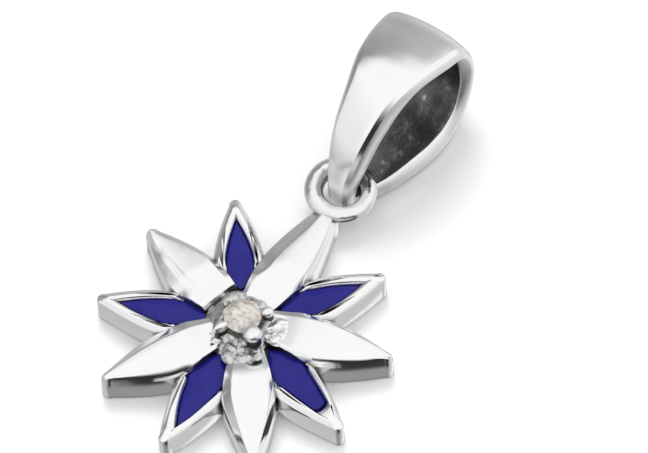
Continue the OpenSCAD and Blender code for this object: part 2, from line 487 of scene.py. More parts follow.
@dataclass
class Draft:
    """A mesh being drawn in millimetres, as rows of points joined by faces."""

    points: list[Point] = field(default_factory=list)
    faces: list[tuple[int, ...]] = field(default_factory=list)
    finishes: list[int] = field(default_factory=list)

    def row(self, points: list[Point]) -> list[int]:
        """Adds points and returns their numbers."""
        start = len(self.points)
        self.points.extend(points)
        return list(range(start, len(self.points)))

    def face(self, corners: tuple[int, ...], finish: int = 0) -> None:
        """Adds one face with the number of its finish."""
        self.faces.append(corners)
        self.finishes.append(finish)

    def bridge(self, first: list[int], second: list[int], closed: bool = False, finish: int = 0) -> None:
        """Joins two rows of equal length by quads.

        Args:
            first: Numbers of the first row's points.
            second: Numbers of the second row's points.
            closed: Whether the rows run back to their starts.
            finish: Number of the finish.
        """
        count = len(first)
        for i in range(count if closed else count - 1):
            j = (i + 1) % count
            self.face((first[i], first[j], second[j], second[i]), finish)

    def tube(self, rows: list[list[int]]) -> None:
        """Joins closed rows one after the other."""
        for low, high in zip(rows, rows[1:]):
            self.bridge(low, high, closed=True)

    def mesh(self, name: str) -> bpy.types.Mesh:
        """The drawn mesh, in metres."""
        made = bpy.data.meshes.new(name)
        made.from_pydata([(x * MM, y * MM, z * MM) for x, y, z in self.points], [], self.faces)
        return made

    def piece(self, name: str, finishes: list[Finish], sharp: float = 35.0) -> bpy.types.Object:
        """Makes the object, in metres, riding on the part.

        Args:
            name: Name of the piece.
            finishes: Finishes in the order of their numbers.
            sharp: Angle in degrees above which an edge stays crisp.

        Returns:
            The new object.
        """
        mesh = self.mesh(name)
        for finish in finishes:
            mesh.materials.append(finish.material())
        mesh.polygons.foreach_set("material_index", self.finishes)
        mesh.polygons.foreach_set("use_smooth", [True] * len(self.faces))
        mesh.validate()
        mesh.set_sharp_from_angle(angle=math.radians(sharp))
        made = placed(name, mesh)
        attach(made, "root")
        log.info("%s: %d faces", name, len(self.faces))
        return made


@dataclass(frozen=True)
class Leaf:
    """One side of a petal that points along +X, with a rounded tip."""

    tip_r: float
    half_w: float
    tip_round: float
    root_half_w: float = 0.7
    widest_r: float = 3.6
    root_r: float = 1.0
    root_curve: float = 1.4
    tip_over: float = 1.1
    near_inset: float = 0.1
    near_shift: float = 1.1
    far_shift: float = 3.3
    tip_tighten: float = 0.5
    least_round: float = 0.08
    steps: int = 40
    arc_steps: int = 8

    def width(self, r: float, sharp: float, half_w: float) -> float:
        """Half width where the leaf's straight sides would meet at sharp.

        Args:
            r: Distance from the star's centre.
            sharp: Distance where the sides would meet.
            half_w: Half width at the widest place.

        Returns:
            The half width.
        """
        if r >= self.widest_r:
            return half_w * (1.0 - ((r - self.widest_r) / (sharp - self.widest_r)) ** 1.5)
        share = (self.widest_r - r) / (self.widest_r - self.root_r)
        return half_w - (half_w - self.root_half_w) * share**self.root_curve

    def tip_shift(self, inset: float) -> float:
        """How far the tip moves in for an inset of the sides."""
        near = min(inset, self.near_inset)
        return near * self.near_shift + (inset - near) * self.far_shift

    def half(self, inset: float = 0.0) -> list[tuple[float, float]]:
        """Half outline pulled in by an inset.

        Args:
            inset: Distance from the petal's own outline.

        Returns:
            Radii and half widths from the root to the very tip.
        """
        sharp = self.tip_r + self.tip_over * self.tip_round - self.tip_shift(inset)
        half_w = self.half_w - inset
        bend = max(self.tip_round - self.tip_tighten * inset, self.least_round)
        arc = sharp - (self.tip_over + 1.0) * bend
        end_w = self.width(arc, sharp, half_w)
        stations = []
        start = self.root_r + inset
        for i in range(self.steps + 1):
            r = start + (arc - start) * math.sin(0.5 * math.pi * i / self.steps)
            stations.append((r, self.width(r, sharp, half_w)))
        for i in range(1, self.arc_steps + 1):
            turn = 0.5 * math.pi * i / self.arc_steps
            stations.append((arc + bend * math.sin(turn), end_w * math.cos(turn)))
        return stations

    def gap_to(self, r: float, y: float) -> float:
        """Distance from a place on the petal to its outline.

        Args:
            r: Distance from the star's centre along the petal.
            y: Distance from the petal's middle line.

        Returns:
            The distance to the nearest point of the outline beside or before it.
        """
        place = Vector((r, abs(y)))
        best = 1e9
        line = [Vector(point) for point in self.half()]
        for near, far in zip(line, line[1:]):
            along = far - near
            share = min(1.0, max(0.0, (place - near).dot(along) / max(along.length_squared, 1e-12)))
            best = min(best, (near + along * share - place).length)
        return best


@dataclass(frozen=True)
class Slope:
    """One side slope of a plain petal.

    Its widths are shares of the petal's half width, at the middle, the tip and
    the root. A curve of 1 is a flat facet, and more rolls over softly.
    """

    middle: float
    tip: float
    root: float
    curve: float = 1.0
    soft: float = 0.05
    least: float = 0.12
    root_half_w: float = 0.7
    rim_fall: float = 0.06
    groove: float = 0.0
    groove_w: float = 0.16

    def wide(self, r: float, half_w: float) -> float:
        """Width of the slope at a distance from the centre.

        Args:
            r: Distance from the star's centre.
            half_w: Half width of the petal there.

        Returns:
            The width in millimetres.
        """
        share = self.middle
        share += (self.tip - self.middle) * smooth(4.2, 6.4, r)
        share += (self.root - self.middle) * (1.0 - smooth(1.8, 3.4, r))
        return max(share * half_w, self.least)

    def rise(self, place: float) -> float:
        """Share of the rise at a place on the slope, from 0 at its foot to 1 at its crease."""
        if place >= 1.0:
            return 1.0
        return 1.0 - (1.0 - max(place, 0.0)) ** self.curve

    def dip(self, r: float, off: float) -> float:
        """Depth of the soft valley along the crease, at a distance off it."""
        along = smooth(1.6, 2.4, r) * (1.0 - smooth(5.6, 6.5, r))
        return self.groove * along * math.exp(-((off / self.groove_w) ** 2))


@dataclass
class PlainPetal:
    """A polished petal with a flat crown, two side slopes and upright walls."""

    number: int
    direction: float
    tip_r: float
    left: Slope
    right: Slope
    drop: float = 0.0
    end_r: float = 9.0
    half_w: float = 1.27
    tip_round: float = 0.34
    crest_h: float = 2.0
    crest_slope: float = 5.5
    edge_h: float = 1.58
    edge: float = 0.07
    root_dip: float = 0.2
    root_rise: float = 0.07
    camber: float = 0.1
    fall_from: float = 3.6
    shade_walls_to: float = 3.3
    across: int = 64

    def crest(self, r: float) -> float:
        """Height of the crown's middle line at a distance from the centre."""
        fall = (r - self.fall_from) * math.tan(math.radians(self.crest_slope))
        dip = self.root_dip * (1.0 - smooth(1.4, 3.0, r))
        return self.crest_h - max(fall, 0.0) - dip - self.sink(r)

    def sink(self, r: float) -> float:
        """How far the inner end drops away into the crevice before the setting."""
        return self.drop * (1.0 - smooth(1.62, 2.0, r))

    def rim(self, r: float, slope: Slope) -> float:
        """Height of a wall's top edge at a distance from the centre."""
        height = self.edge_h - slope.rim_fall * max(r - self.fall_from, 0.0) - self.sink(r)
        return height + max(self.crest(r) - self.root_rise - height, 0.0) * (1.0 - smooth(2.3, 3.5, r))

    def top(self, r: float, y: float, half_w: float, foot: float, leaves: dict[bool, Leaf]) -> float:
        """Height of the top at a place.

        Args:
            r: Distance from the star's centre.
            y: Distance to the left of the middle line.
            half_w: Half width of the petal there, on that side.
            foot: Distance from the outline where the slope starts.
            leaves: Outlines of the sides, the left one under True.

        Returns:
            The height.
        """
        slope = self.left if y > 0.0 else self.right
        gap = max(leaves[y > 0.0].gap_to(r, y) - foot, 0.0)
        wide = slope.wide(r, half_w)
        flat = max(1.0 - wide / max(half_w, 0.01), 0.05)
        crown = 1.0 - self.camber * min(abs(y) / max(half_w, 0.01) / flat, 1.5) ** 2
        share = soft_min((1.0 - self.camber) * gap / wide, crown, slope.soft)
        if slope.curve > 1.0:
            share = min(crown, (1.0 - self.camber) * slope.rise(gap / wide) + self.camber * gap / wide)
        rim = self.rim(r, slope)
        return rim + (self.crest(r) - rim) * max(share, 0.0) - slope.dip(r, gap - wide)

    def build(self) -> bpy.types.Object:
        """Draws the petal from its wall rings and its crown."""
        leaves = {
            is_left: Leaf(self.tip_r, self.half_w, self.tip_round, slope.root_half_w)
            for is_left, slope in ((True, self.left), (False, self.right))
        }
        edge = self.edge
        soft = edge * 0.3
        draft = Draft()
        walls = {
            is_left: [leaf.half(e) for e in (edge, soft, 0.0, 0.0, soft)] for is_left, leaf in leaves.items()
        }
        inner = {is_left: leaf.half(edge) for is_left, leaf in leaves.items()}
        rows: list[list[int]] = []
        for i, (r, left_w) in enumerate(inner[True]):
            if r > self.end_r:
                break
            right_w = inner[False][i][1]
            sides = {}
            for is_left, slope in ((True, self.left), (False, self.right)):
                rim = self.rim(r, slope)
                heights = (0.0, soft, edge, rim - 1.9 * edge, rim - 0.85 * edge)
                sign = 1.0 if is_left else -1.0
                sides[is_left] = [
                    (wall[i][0], sign * wall[i][1], z) for wall, z in zip(walls[is_left], heights)
                ]
            crown = []
            feet = {True: leaves[True].gap_to(r, left_w), False: leaves[False].gap_to(r, right_w)}
            for j in range(self.across + 1):
                share = math.cos(math.pi * j / self.across)
                half_w = left_w if share > 0.0 else right_w
                y = share * half_w
                crown.append((r, y, self.top(r, y, half_w, feet[y > 0.0], leaves)))
            rows.append(draft.row(turned(sides[True] + crown + sides[False][::-1], self.direction)))
        self.skin(draft, rows, [inner[True][i][0] for i in range(len(rows))])
        finishes: list[Finish] = [PolishedSilver(), ShadedSilver()]
        return draft.piece("plain_petal_%d" % self.number, finishes, sharp=30.0)

    def skin(self, draft: Draft, rows: list[list[int]], radii: list[float]) -> None:
        """Joins the petal's rows, with painted shade on the walls where they stand against the enamel.

        Args:
            draft: Mesh that takes the faces.
            rows: Rows of the petal's points, from the root outwards.
            radii: Distances of the rows from the star's centre.
        """
        count = len(rows[0])
        walls = {2, 3, count - 5, count - 4}
        for near, far, r in zip(rows, rows[1:], radii):
            for i in range(count):
                j = (i + 1) % count
                # Painted shade on the walls beside the enamel, near the centre.
                shaded_wall = i in walls and r < self.shade_walls_to
                draft.face((near[i], near[j], far[j], far[i]), 1 if shaded_wall else 0)
        draft.face(tuple(rows[0]))
        draft.face(tuple(reversed(rows[-1])))


@dataclass(frozen=True)
class Field:
    """Outline of an enamelled field.

    Half widths are given for each side just inside and just outside the widest
    place. The root's and the tip's shifts are to the left.
    """

    start: float
    tip: float
    right_in: float
    left_in: float
    right_out: float
    left_out: float
    curve: float = 3.0
    root_shift: float = 0.0
    tip_shift: float = 0.0
    blunt: float = 0.0
    widest_r: float = 3.4
    outside_r: float = 3.75
    root_pull: float = 1.3
    tip_pull: float = 2.4

    def sides(self, inset: float, steps: int = 30) -> list[tuple[float, float, float]]:
        """Stations along the field, pulled in by an inset.

        Args:
            inset: Distance from the field's own outline, less than 0 outside it.
            steps: Number of stations each side of the widest place.

        Returns:
            Radii with the places of the right and of the left side.
        """
        start, tip = self.start + self.root_pull * inset, self.tip - self.tip_pull * inset
        widest = self.widest_r
        stations = []
        for i in range(steps + 1):
            r = start + (widest - start) * (1.0 - math.cos(0.5 * math.pi * i / steps))
            share = (widest - r) / (widest - start)
            w = 1.0 - share**self.curve
            shift = self.root_shift * share
            stations.append((r, shift - (self.right_in - inset) * w, shift + (self.left_in - inset) * w))
        for i in range(1, steps + 1):
            r = widest + (tip - widest) * math.sin(0.5 * math.pi * i / steps)
            share = (r - widest) / (tip - widest)
            w = 1.0 - share**1.6
            w = min(w + self.blunt * share * share, math.sqrt(max(1.0 - share, 0.0) * 5.0), 1.0)
            step_in = smooth(widest, self.outside_r, r)
            shift = self.tip_shift * share * share
            right = self.right_in + (self.right_out - self.right_in) * step_in - inset
            left = self.left_in + (self.left_out - self.left_in) * step_in - inset
            stations.append((r, shift - right * w, shift + left * w))
        return stations

    def ring(self, inset: float, z: float) -> list[Point]:
        """The outline at one height, from the root along the right side, round the tip and back."""
        sides = self.sides(inset)
        there = [(r, right, z) for r, right, _ in sides]
        return there + [(r, left, z) for r, _, left in reversed(sides[1:-1])]


@dataclass
class RimmedPetal:
    """A petal whose raised rim holds enamel."""

    number: int
    direction: float
    tip_r: float
    field: Field
    rim_h: float = 1.65
    root_h: float = 1.36
    bevel_h: float = 1.42
    bevel_w: float = 0.26
    half_w: float = 1.2
    tip_round: float = 0.32
    dark_to: float = 3.0
    slope_w: float = 0.14
    recess_h: float = 1.2
    enamel_h: float = 1.48
    edge: float = 0.07
    groove: float = 0.03
    dome: float = 0.07

    def walls(self) -> list[list[Point]]:
        """Rings of the petal's outside, from the back up to the ridge."""
        e, soft = self.edge, self.edge * 0.3
        levels = (
            (e, 0.0),
            (soft, soft),
            (0.0, e),
            (0.0, self.bevel_h - e),
            (soft, self.bevel_h - soft * 0.6),
            (e * 0.8, self.bevel_h + 0.05),
            (self.bevel_w - 0.05, self.rim_h - 0.05),
            (self.bevel_w - 0.01, self.rim_h - 0.012),
            (self.bevel_w + 0.03, self.rim_h),
        )
        leaf = Leaf(self.tip_r, self.half_w, self.tip_round, steps=52)
        rings = []
        for inset, z in levels:
            half = leaf.half(inset)
            right = [(r, -w, z) for r, w in half]
            rings.append(right + [(r, w, z) for r, w in reversed(half[1:-1])])
        return rings

    def brim(self) -> list[list[Point]]:
        """Rings of the rim's inner side, from the ridge down to the floor under the enamel."""
        out = self.slope_w
        low = self.enamel_h - 0.02
        return [
            self.field.ring(-out, self.rim_h),
            self.field.ring(-out + 0.03, self.rim_h - 0.025),
            self.field.ring(-0.015, low),
            self.field.ring(0.0, low - 0.06),
            self.field.ring(0.0, self.recess_h),
        ]

    def build(self) -> bpy.types.Object:
        """Draws the walls, the rim and the recess."""
        draft = Draft()
        shaped = []
        for ring in self.walls() + self.brim():
            shaped.append([(x, y, min(z, self.low_at(x))) for x, y, z in ring])
        rings = [draft.row(turned(ring, self.direction)) for ring in shaped]
        for k, (low, high) in enumerate(zip(rings, rings[1:])):
            for i in range(len(low)):
                j = (i + 1) % len(low)
                # Painted shade: the rim's inner side, the recess and the walls near the centre take the nearly
                # black silver.
                dark = k >= len(rings) - 3 or (k > 2 and shaped[k][i][0] < self.dark_to)
                draft.face((low[i], low[j], high[j], high[i]), 1 if dark else 0)
        draft.face(tuple(reversed(rings[0])))
        draft.face(tuple(rings[-1]), 1)
        name = "rimmed_petal_%d" % self.number
        return draft.piece(name, [PolishedSilver(), CreviceShadeSilver()], sharp=50.0)

    def low_at(self, r: float) -> float:
        """Greatest height of the rim at a distance from the centre; it dips where plain petals cross it."""
        return self.root_h + (self.rim_h - self.root_h) * smooth(2.9, 3.7, r)

    def enamel(self) -> bpy.types.Object:
        """Draws the enamel, gently domed and sunk at its edges."""
        shares = [0.5 - 0.5 * math.cos(math.pi * j / 18) for j in range(19)]
        draft = Draft()
        rows = []
        for r, right, left in self.field.sides(self.groove):
            rise = self.dome * min(1.0, (left - right) / 1.2)
            top = []
            for s in shares:
                bend = 1.0 - abs(2.0 * s - 1.0) ** 2.2
                top.append((r, left + (right - left) * s, self.enamel_h - 0.03 + rise * bend))
            low = [(r, right, self.recess_h + 0.02), (r, left, self.recess_h + 0.02)]
            rows.append(draft.row(turned(top + low, self.direction)))
        draft.tube(rows)
        draft.face(tuple(rows[0]))
        made = draft.piece("enamel_field_%d" % self.number, [BlueEnamel()], sharp=60.0)
        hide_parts("enamel_%d" % self.number)
        return made


@dataclass
class Eyelet:
    """The ring at the star's top and the neck that carries it."""

    centre_y: float = 8.52
    hole_r: float = 0.86
    wire_r: float = 0.41
    thicker: float = 0.2
    base_z: float = 1.08
    neck_y: float = 7.02
    neck_r: float = 0.62
    neck_z: float = 1.05
    steps: int = 96
    round_steps: int = 28
    neck_steps: int = 48

    def ring(self) -> bpy.types.Object:
        """Draws the ring as a round wire, a little uneven along its length."""
        draft = Draft()
        rows = []
        for a in circle_angles(self.steps):
            uneven = 1.0 - 0.035 * (1.0 + math.sin(2.0 * a + 0.7))
            radius = self.wire_r * (uneven + self.thicker * max(-math.cos(a), 0.0))
            middle = max(radius, self.wire_r)
            row = []
            for b in circle_angles(self.round_steps):
                out = self.hole_r + middle + radius * math.cos(b)
                z = self.base_z + middle + radius * math.sin(b)
                row.append((out * math.cos(a), self.centre_y + out * math.sin(a), z))
            rows.append(draft.row(row))
        for k, row in enumerate(rows):
            draft.bridge(row, rows[(k + 1) % len(rows)], closed=True)
        return draft.piece("eyelet_ring", [RingSilver()])

    def neck(self) -> bpy.types.Object:
        """Draws the neck, hollowed where the ring's hole meets it."""
        draft = Draft()
        hole = self.hole_r + 0.04
        rows = []
        profile = [(self.neck_r, 0.0), (self.neck_r, self.neck_z)]
        profile += [
            (self.neck_r * math.cos(math.radians(t)), self.neck_z + self.neck_r * math.sin(math.radians(t)))
            for t in range(9, 90, 9)
        ]
        profile.append((0.01, self.neck_z + self.neck_r))
        for r, z in profile:
            row = []
            for a in circle_angles(self.neck_steps):
                x, y = r * math.cos(a), self.neck_y + r * math.sin(a)
                reach = math.hypot(x, y - self.centre_y)
                if reach < hole:
                    x, y = x * hole / reach, self.centre_y + (y - self.centre_y) * hole / reach
                row.append((x, y, z))
            rows.append(draft.row(row))
        draft.tube(rows)
        return draft.piece("eyelet_neck", [PolishedSilver()])


@dataclass(frozen=True)
class Claw:
    """One claw: its direction, bead size, height of the bead's middle and stretch along the rim.

    A rough one was never polished and is part of the casting's crust.
    """

    direction: float
    bead_r: float = 0.4
    bead_h: float = 2.5
    stretch: float = 1.0
    at: float = 1.17
    rough: bool = False


@dataclass(frozen=True)
class Crust:
    """A patch of rough casting.

    It has its directions, radii, heights at its inner and outer edge, and the
    number of its finish.
    """

    first: float
    last: float
    near: float
    far: float
    low: float
    high: float
    finish: int = 1

    def at(self, share: float, turn: float) -> Point:
        """A place on the patch.

        Args:
            share: How far out, from 0 to 1.
            turn: How far round, from 0 to 1.

        Returns:
            The place, with its rough height.
        """
        a = math.radians(self.first + (self.last - self.first) * turn)
        side = abs(2.0 * turn - 1.0)
        ragged = 0.07 * noise.noise(Vector((math.cos(a) * 5.0, math.sin(a) * 5.0, 3.0)))
        reach = (self.far - self.near) * max(1.0 - side**3.0, 0.0) ** 0.4 + ragged
        r = self.near + reach * share
        place = Vector((r * math.cos(a), r * math.sin(a), 0.0))
        rise = 0.07 * noise.noise(place * 3.3) + 0.02 * noise.noise(place * 8.1)
        edge = min((1.0 - share) * 3.0, (1.0 - side) * 5.0)
        fall = 0.14 * (1.0 - smooth(0.0, 1.0, edge))
        return (place.x, place.y, self.low + (self.high - self.low) * share + rise - fall)


@dataclass
class Setting:
    """Collet, claws and the rough casting round them."""

    claws: tuple[Claw, ...] = (
        Claw(-33.0, 0.44, 2.64, at=1.13),
        Claw(42.0, 0.31, 2.5, 0.85),
        Claw(142.0, 0.38, 2.2, 1.6, 1.15, True),
        Claw(-120.0, 0.42, 2.44, 0.56, 1.12),
    )
    crusts: tuple[Crust, ...] = (
        Crust(-10.0, 44.0, 1.1, 2.3, 1.98, 1.93, 0),
        Crust(-96.0, -24.0, 1.0, 2.3, 2.0, 1.98),
        Crust(-56.0, -10.0, 1.0, 1.66, 1.98, 1.9),
        Crust(-172.0, -66.0, 0.98, 1.78, 2.04, 1.56),
        Crust(-134.0, -102.0, 1.35, 1.98, 1.92, 1.74, 0),
        Crust(134.0, 216.0, 0.98, 1.86, 2.12, 1.7),
        Crust(30.0, 150.0, 0.98, 1.5, 2.14, 1.95, 0),
    )

    def collet(self) -> bpy.types.Object:
        """Draws the seat under the stone, with a rough wall and top."""
        draft = Draft()
        rows = []
        seat = [(0.3, 1.75), (0.72, 2.0), (0.86, 2.1), (0.96, 2.17)]
        shoulder = [(1.06, 2.16), (1.16, 2.1), (1.25, 2.02), (1.33, 1.92), (1.39, 1.8)]
        wall = [(1.44, 1.66), (1.48, 1.52), (1.52, 1.36), (1.55, 1.2), (1.56, 1.0)]
        for r, z in seat + shoulder + wall:
            row = []
            for a in circle_angles(160):
                x, y = math.cos(a), math.sin(a)
                lump = noise.fractal(Vector((x * r * 3.0, y * r * 3.0, z * 1.1)), 1.0, 2.0, 4)
                swell = 0.07 * lump * smooth(0.7, 1.1, r)
                row.append(((r + swell) * x, (r + swell) * y, z + swell))
            rows.append(draft.row(row))
        draft.tube(rows)
        return draft.piece("collet", [GreyCast()], sharp=70.0)

    def crust(self) -> bpy.types.Object:
        """Draws the fused rough casting on the petals' inner ends and on the collet."""
        draft = Draft()
        for crust in self.crusts:
            count = int((crust.last - crust.first) * 1.4)
            turns = [0.5 - 0.5 * math.cos(math.pi * j / count) for j in range(count + 1)]
            rows = [draft.row([crust.at(i / 30, turn) for turn in turns]) for i in range(31)]
            for low, high in zip(rows, rows[1:]):
                draft.bridge(low, high, finish=crust.finish)
        return draft.piece("cast_crust", [CastSilver(), GreyCast()], sharp=80.0)

    def claw(self, number: int, claw: Claw) -> bpy.types.Object:
        """Draws one claw: a post and the bead's underside in painted shade, under a bright bead.

        Args:
            number: Number of the claw.
            claw: Its sizes.

        Returns:
            The new object.
        """
        post = claw.bead_r * 0.8
        profile = [(post * 1.3, 1.5, 1), (post * 1.1, 1.8, 1), (post, claw.bead_h - 0.3, 1)]
        for t in range(-40, 90, 10):
            height = claw.bead_h + claw.bead_r * 0.8 * math.sin(math.radians(t))
            profile.append((claw.bead_r * math.cos(math.radians(t)) ** 0.6, height, 1 if t < -5 else 0))
        profile.append((0.006, claw.bead_h + claw.bead_r * 0.8, 0))
        draft = Draft()
        rows = []
        for r, z, _ in profile:
            row = []
            for a in circle_angles(40):
                x, y = r * math.cos(a), r * claw.stretch * math.sin(a)
                dent = 1.0 + 0.04 * noise.noise(Vector((x * 3.0 + number * 7.0, y * 3.0, z * 3.0)))
                row.append((claw.at + x * dent, y * dent, z))
            rows.append(draft.row(turned(row, claw.direction)))
        for low, high, (_, _, finish) in zip(rows, rows[1:], profile):
            draft.bridge(low, high, closed=True, finish=finish)
        # Finish 1 is painted shade on the post and the bead's underside, except on a rough claw.
        finishes: list[Finish] = [GreyCast(), GreyCast()] if claw.rough else [BeadSilver(), CreviceShadeSilver()]
        return draft.piece("claw_%d" % number, finishes)

    def dress_stone(self) -> None:
        """Gives the cut stone its finish, with crisp facets."""
        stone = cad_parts["stone"]
        stone.data.materials.clear()
        stone.data.materials.append(CutStone().material())
        stone.data.polygons.foreach_set("use_smooth", [False] * len(stone.data.polygons))
        log.info("stone: dressed")

    def build(self) -> None:
        """Draws every piece of the setting and dresses the stone."""
        self.collet()
        self.crust()
        for number, claw in enumerate(self.claws, 1):
            self.claw(number, claw)
        self.dress_stone()


@dataclass(frozen=True)
class Station:
    """One section of the bail: its outer crest, half width, wall, edge inset and shoulder."""

    y: float
    z: float
    half_w: float
    wall: float
    inset: float
    shoulder: float

    def values(self) -> tuple[float, ...]:
        """The section's numbers in order."""
        return (self.y, self.z, self.half_w, self.wall, self.inset, self.shoulder)


def bail_stations() -> tuple[Station, ...]:
    """Sections round the bail, from under the eyelet up the front leg and back."""
    return (
        Station(9.60, 0.05, 1.05, 0.92, 0.18, 0.14),
        Station(8.75, 0.12, 0.78, 0.86, 0.12, 0.14),
        Station(8.14, 0.55, 0.64, 0.84, 0.06, 0.20),
        Station(7.97, 1.30, 0.62, 0.88, 0.06, 0.26),
        Station(8.02, 2.30, 0.68, 1.16, 0.06, 0.30),
        Station(8.25, 3.40, 0.82, 1.46, 0.06, 0.34),
        Station(8.72, 4.55, 0.98, 1.50, 0.06, 0.34),
        Station(9.55, 5.75, 1.16, 1.46, 0.06, 0.34),
        Station(10.80, 6.74, 1.37, 1.26, 0.06, 0.38),
        Station(12.15, 7.20, 1.64, 0.92, 0.08, 0.40),
        Station(13.45, 7.07, 1.88, 0.75, 0.14, 0.44),
        Station(14.80, 6.63, 2.05, 0.70, 0.24, 0.44),
        Station(16.08, 5.95, 2.14, 0.92, 0.32, 0.38),
        Station(16.86, 4.15, 2.14, 1.12, 0.34, 0.30),
        Station(16.72, 2.40, 2.14, 1.12, 0.26, 0.24),
        Station(15.90, 0.95, 2.18, 1.12, 0.22, 0.18),
        Station(14.50, 0.15, 2.24, 1.12, 0.26, 0.14),
        Station(13.10, 0.01, 2.20, 1.12, 0.30, 0.14),
        Station(11.80, 0.01, 1.93, 1.08, 0.30, 0.14),
        Station(10.60, 0.01, 1.52, 0.98, 0.25, 0.14),
    )


@dataclass
class Bail:
    """The tapered loop, domed outside and flat inside, with a crisp right shoulder and a round left one."""

    turn: float = 2.5
    pivot_y: float = 8.52
    dome: float = 0.26
    dome_rise: float = 0.11
    dome_power: float = 2.3
    facet_fall: float = 0.84
    facet_depth: float = 0.15
    facet_w: float = 0.12
    facet_share: float = 0.35
    round_from: float = 20.0
    round_steps: int = 9
    side_share: float = 0.6
    skin: float = 0.006
    fine: int = 9
    dome_steps: int = 14
    stations: tuple[Station, ...] = field(default_factory=bail_stations)

    def at(self, k: int) -> Station:
        """Section number k on the closed smooth curve through the stations."""
        count = len(self.stations)
        i, t = k // self.fine, (k % self.fine) / self.fine
        near = [self.stations[(i + step) % count].values() for step in (-1, 0, 1, 2)]
        blended = [
            0.5 * (2 * b + (c - a) * t + (2 * a - 5 * b + 4 * c - d) * t * t + (3 * b - a - 3 * c + d) * t**3)
            for a, b, c, d in zip(*near)
        ]
        return Station(*blended)

    def section(self, s: Station) -> list[tuple[float, float, int]]:
        """Section across the band.

        Args:
            s: Sizes of the section.

        Returns:
            Places across, depths under the crest and the finish of the strip that
            starts there, once round. A finish of -1 marks a crisp crease.
        """
        w, t, inner = s.half_w, s.wall, s.half_w - s.inset
        crease = w - s.shoulder
        dome = min(self.dome, self.dome_rise * crease)
        top = self.skin + dome
        facet = self.facet_w + (s.shoulder - self.facet_w) * self.facet_share
        depth = min(facet * self.facet_fall, self.facet_depth)
        bevel = s.shoulder - facet
        shares = [math.sin(0.5 * math.pi * j / self.dome_steps) for j in range(self.dome_steps + 1)]
        face = [(crease * share, self.skin + dome * share**self.dome_power) for share in shares]
        side = self.side_share * t
        band = max(side, top + depth + bevel + 0.04)
        right = [(x, d, 0) for x, d in face[:-1]]
        right += [
            (crease, top, -1),
            (crease, top, 0),
            (crease + facet, top + depth, -1),
            (crease + facet, top + depth, 2),
            (w, top + depth + bevel + 0.015, 2),
            (w, band, 2),
            (w - 0.06 * s.inset, band + 0.03, 2),
            (inner + 0.03 + 0.2 * s.inset, t - 0.07, 2),
            (inner, t - 0.03, 0),
            (inner - 0.03, t - 0.01, 0),
        ]
        # The inside strips take finish 1, the painted shade.
        inside = [
            (share * (inner - 0.06), t - 0.002 - 0.04 * (1.0 - share * share), 1) for share in (1.0, 0.7, 0.35)
        ]
        left = [
            (-inner, t - 0.03, 2),
            (0.06 * s.inset - w, side + 0.04, 2),
            (-w, side, 0),
        ]
        low = math.sin(math.radians(self.round_from))
        for j in range(1, self.round_steps + 1):
            a = math.radians(90.0 - (90.0 - self.round_from) * j / self.round_steps)
            over = s.shoulder * (math.sin(a) - low) / (1.0 - low)
            down = (side - top) * (1.0 - math.cos(a) / math.sqrt(1.0 - low * low))
            left.append((-crease - over, top + down, 0))
        left += [(-x, d, 0) for x, d in reversed(face[1:-1])]
        return right + inside + [(0.0, t - 0.042, 1)] + [(-x, d, 1) for x, d, _ in reversed(inside)] + left

    def build(self) -> bpy.types.Object:
        """Draws the loop, with painted shade on its inside."""
        count = len(self.stations) * self.fine
        draft = Draft()
        rows = []
        sections = []
        for k in range(count):
            s, near, far = self.at(k), self.at((k - 1) % count), self.at((k + 1) % count)
            along = Vector((far.y - near.y, far.z - near.z)).normalized()
            section = self.section(s)
            sections.append(section)
            row = [(x, s.y + along.y * d, s.z - along.x * d) for x, d, _ in section]
            rows.append(draft.row(turned(row, -self.turn, self.pivot_y)))
        size = len(rows[0])
        for k in range(count):
            far_row = rows[(k + 1) % count]
            for i in range(size):
                j = (i + 1) % size
                if sections[k][i][2] >= 0:
                    draft.face((rows[k][i], rows[k][j], far_row[j], far_row[i]), sections[k][i][2])
        finishes: list[Finish] = [BailSilver(), ShadedSilver(), SatinSilver()]
        made = draft.piece("bail_loop", finishes, sharp=50.0)
        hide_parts("bail")
        return made


def plain_slopes() -> tuple[tuple[Slope, Slope], ...]:
    """Left and right slopes of the plain petals, anticlockwise from the eyelet."""
    return (
        (Slope(0.52, 0.66, 0.2, soft=0.04, root_half_w=0.87), Slope(0.2, 0.2, 0.2, 2.0, root_half_w=0.66)),
        (
            Slope(0.55, 0.36, 0.34, soft=0.12, root_half_w=0.52, groove=0.07),
            Slope(0.22, 0.3, 0.24, least=0.25, root_half_w=0.97),
        ),
        (Slope(0.4, 0.4, 0.4, 2.0, root_half_w=0.42), Slope(0.4, 0.4, 0.3, soft=0.06, root_half_w=0.93)),
        (Slope(0.3, 0.3, 0.3, 1.6, root_half_w=0.77), Slope(0.34, 0.34, 0.3, soft=0.12, root_half_w=0.53)),
        (
            Slope(0.25, 0.3, 0.2, soft=0.08, root_half_w=1.05),
            Slope(0.3, 0.7, 0.3, 2.4, rim_fall=0.08, root_half_w=0.4),
        ),
    )


def enamel_fields() -> tuple[Field, ...]:
    """Outlines of the enamelled fields, anticlockwise from the eyelet."""
    return (
        Field(2.02, 5.76, 0.68, 0.6, 0.66, 0.59),
        Field(1.74, 5.98, 0.74, 0.57, 0.67, 0.62, root_shift=-0.12),
        Field(1.46, 6.0, 0.9, 0.8, 0.7, 0.79, curve=2.2, tip_shift=0.2),
        Field(1.64, 5.62, 0.72, 0.9, 0.62, 0.77, curve=2.3, root_shift=0.14, blunt=0.45),
        Field(1.84, 5.86, 0.62, 0.72, 0.63, 0.64, curve=2.5, root_shift=0.2),
    )


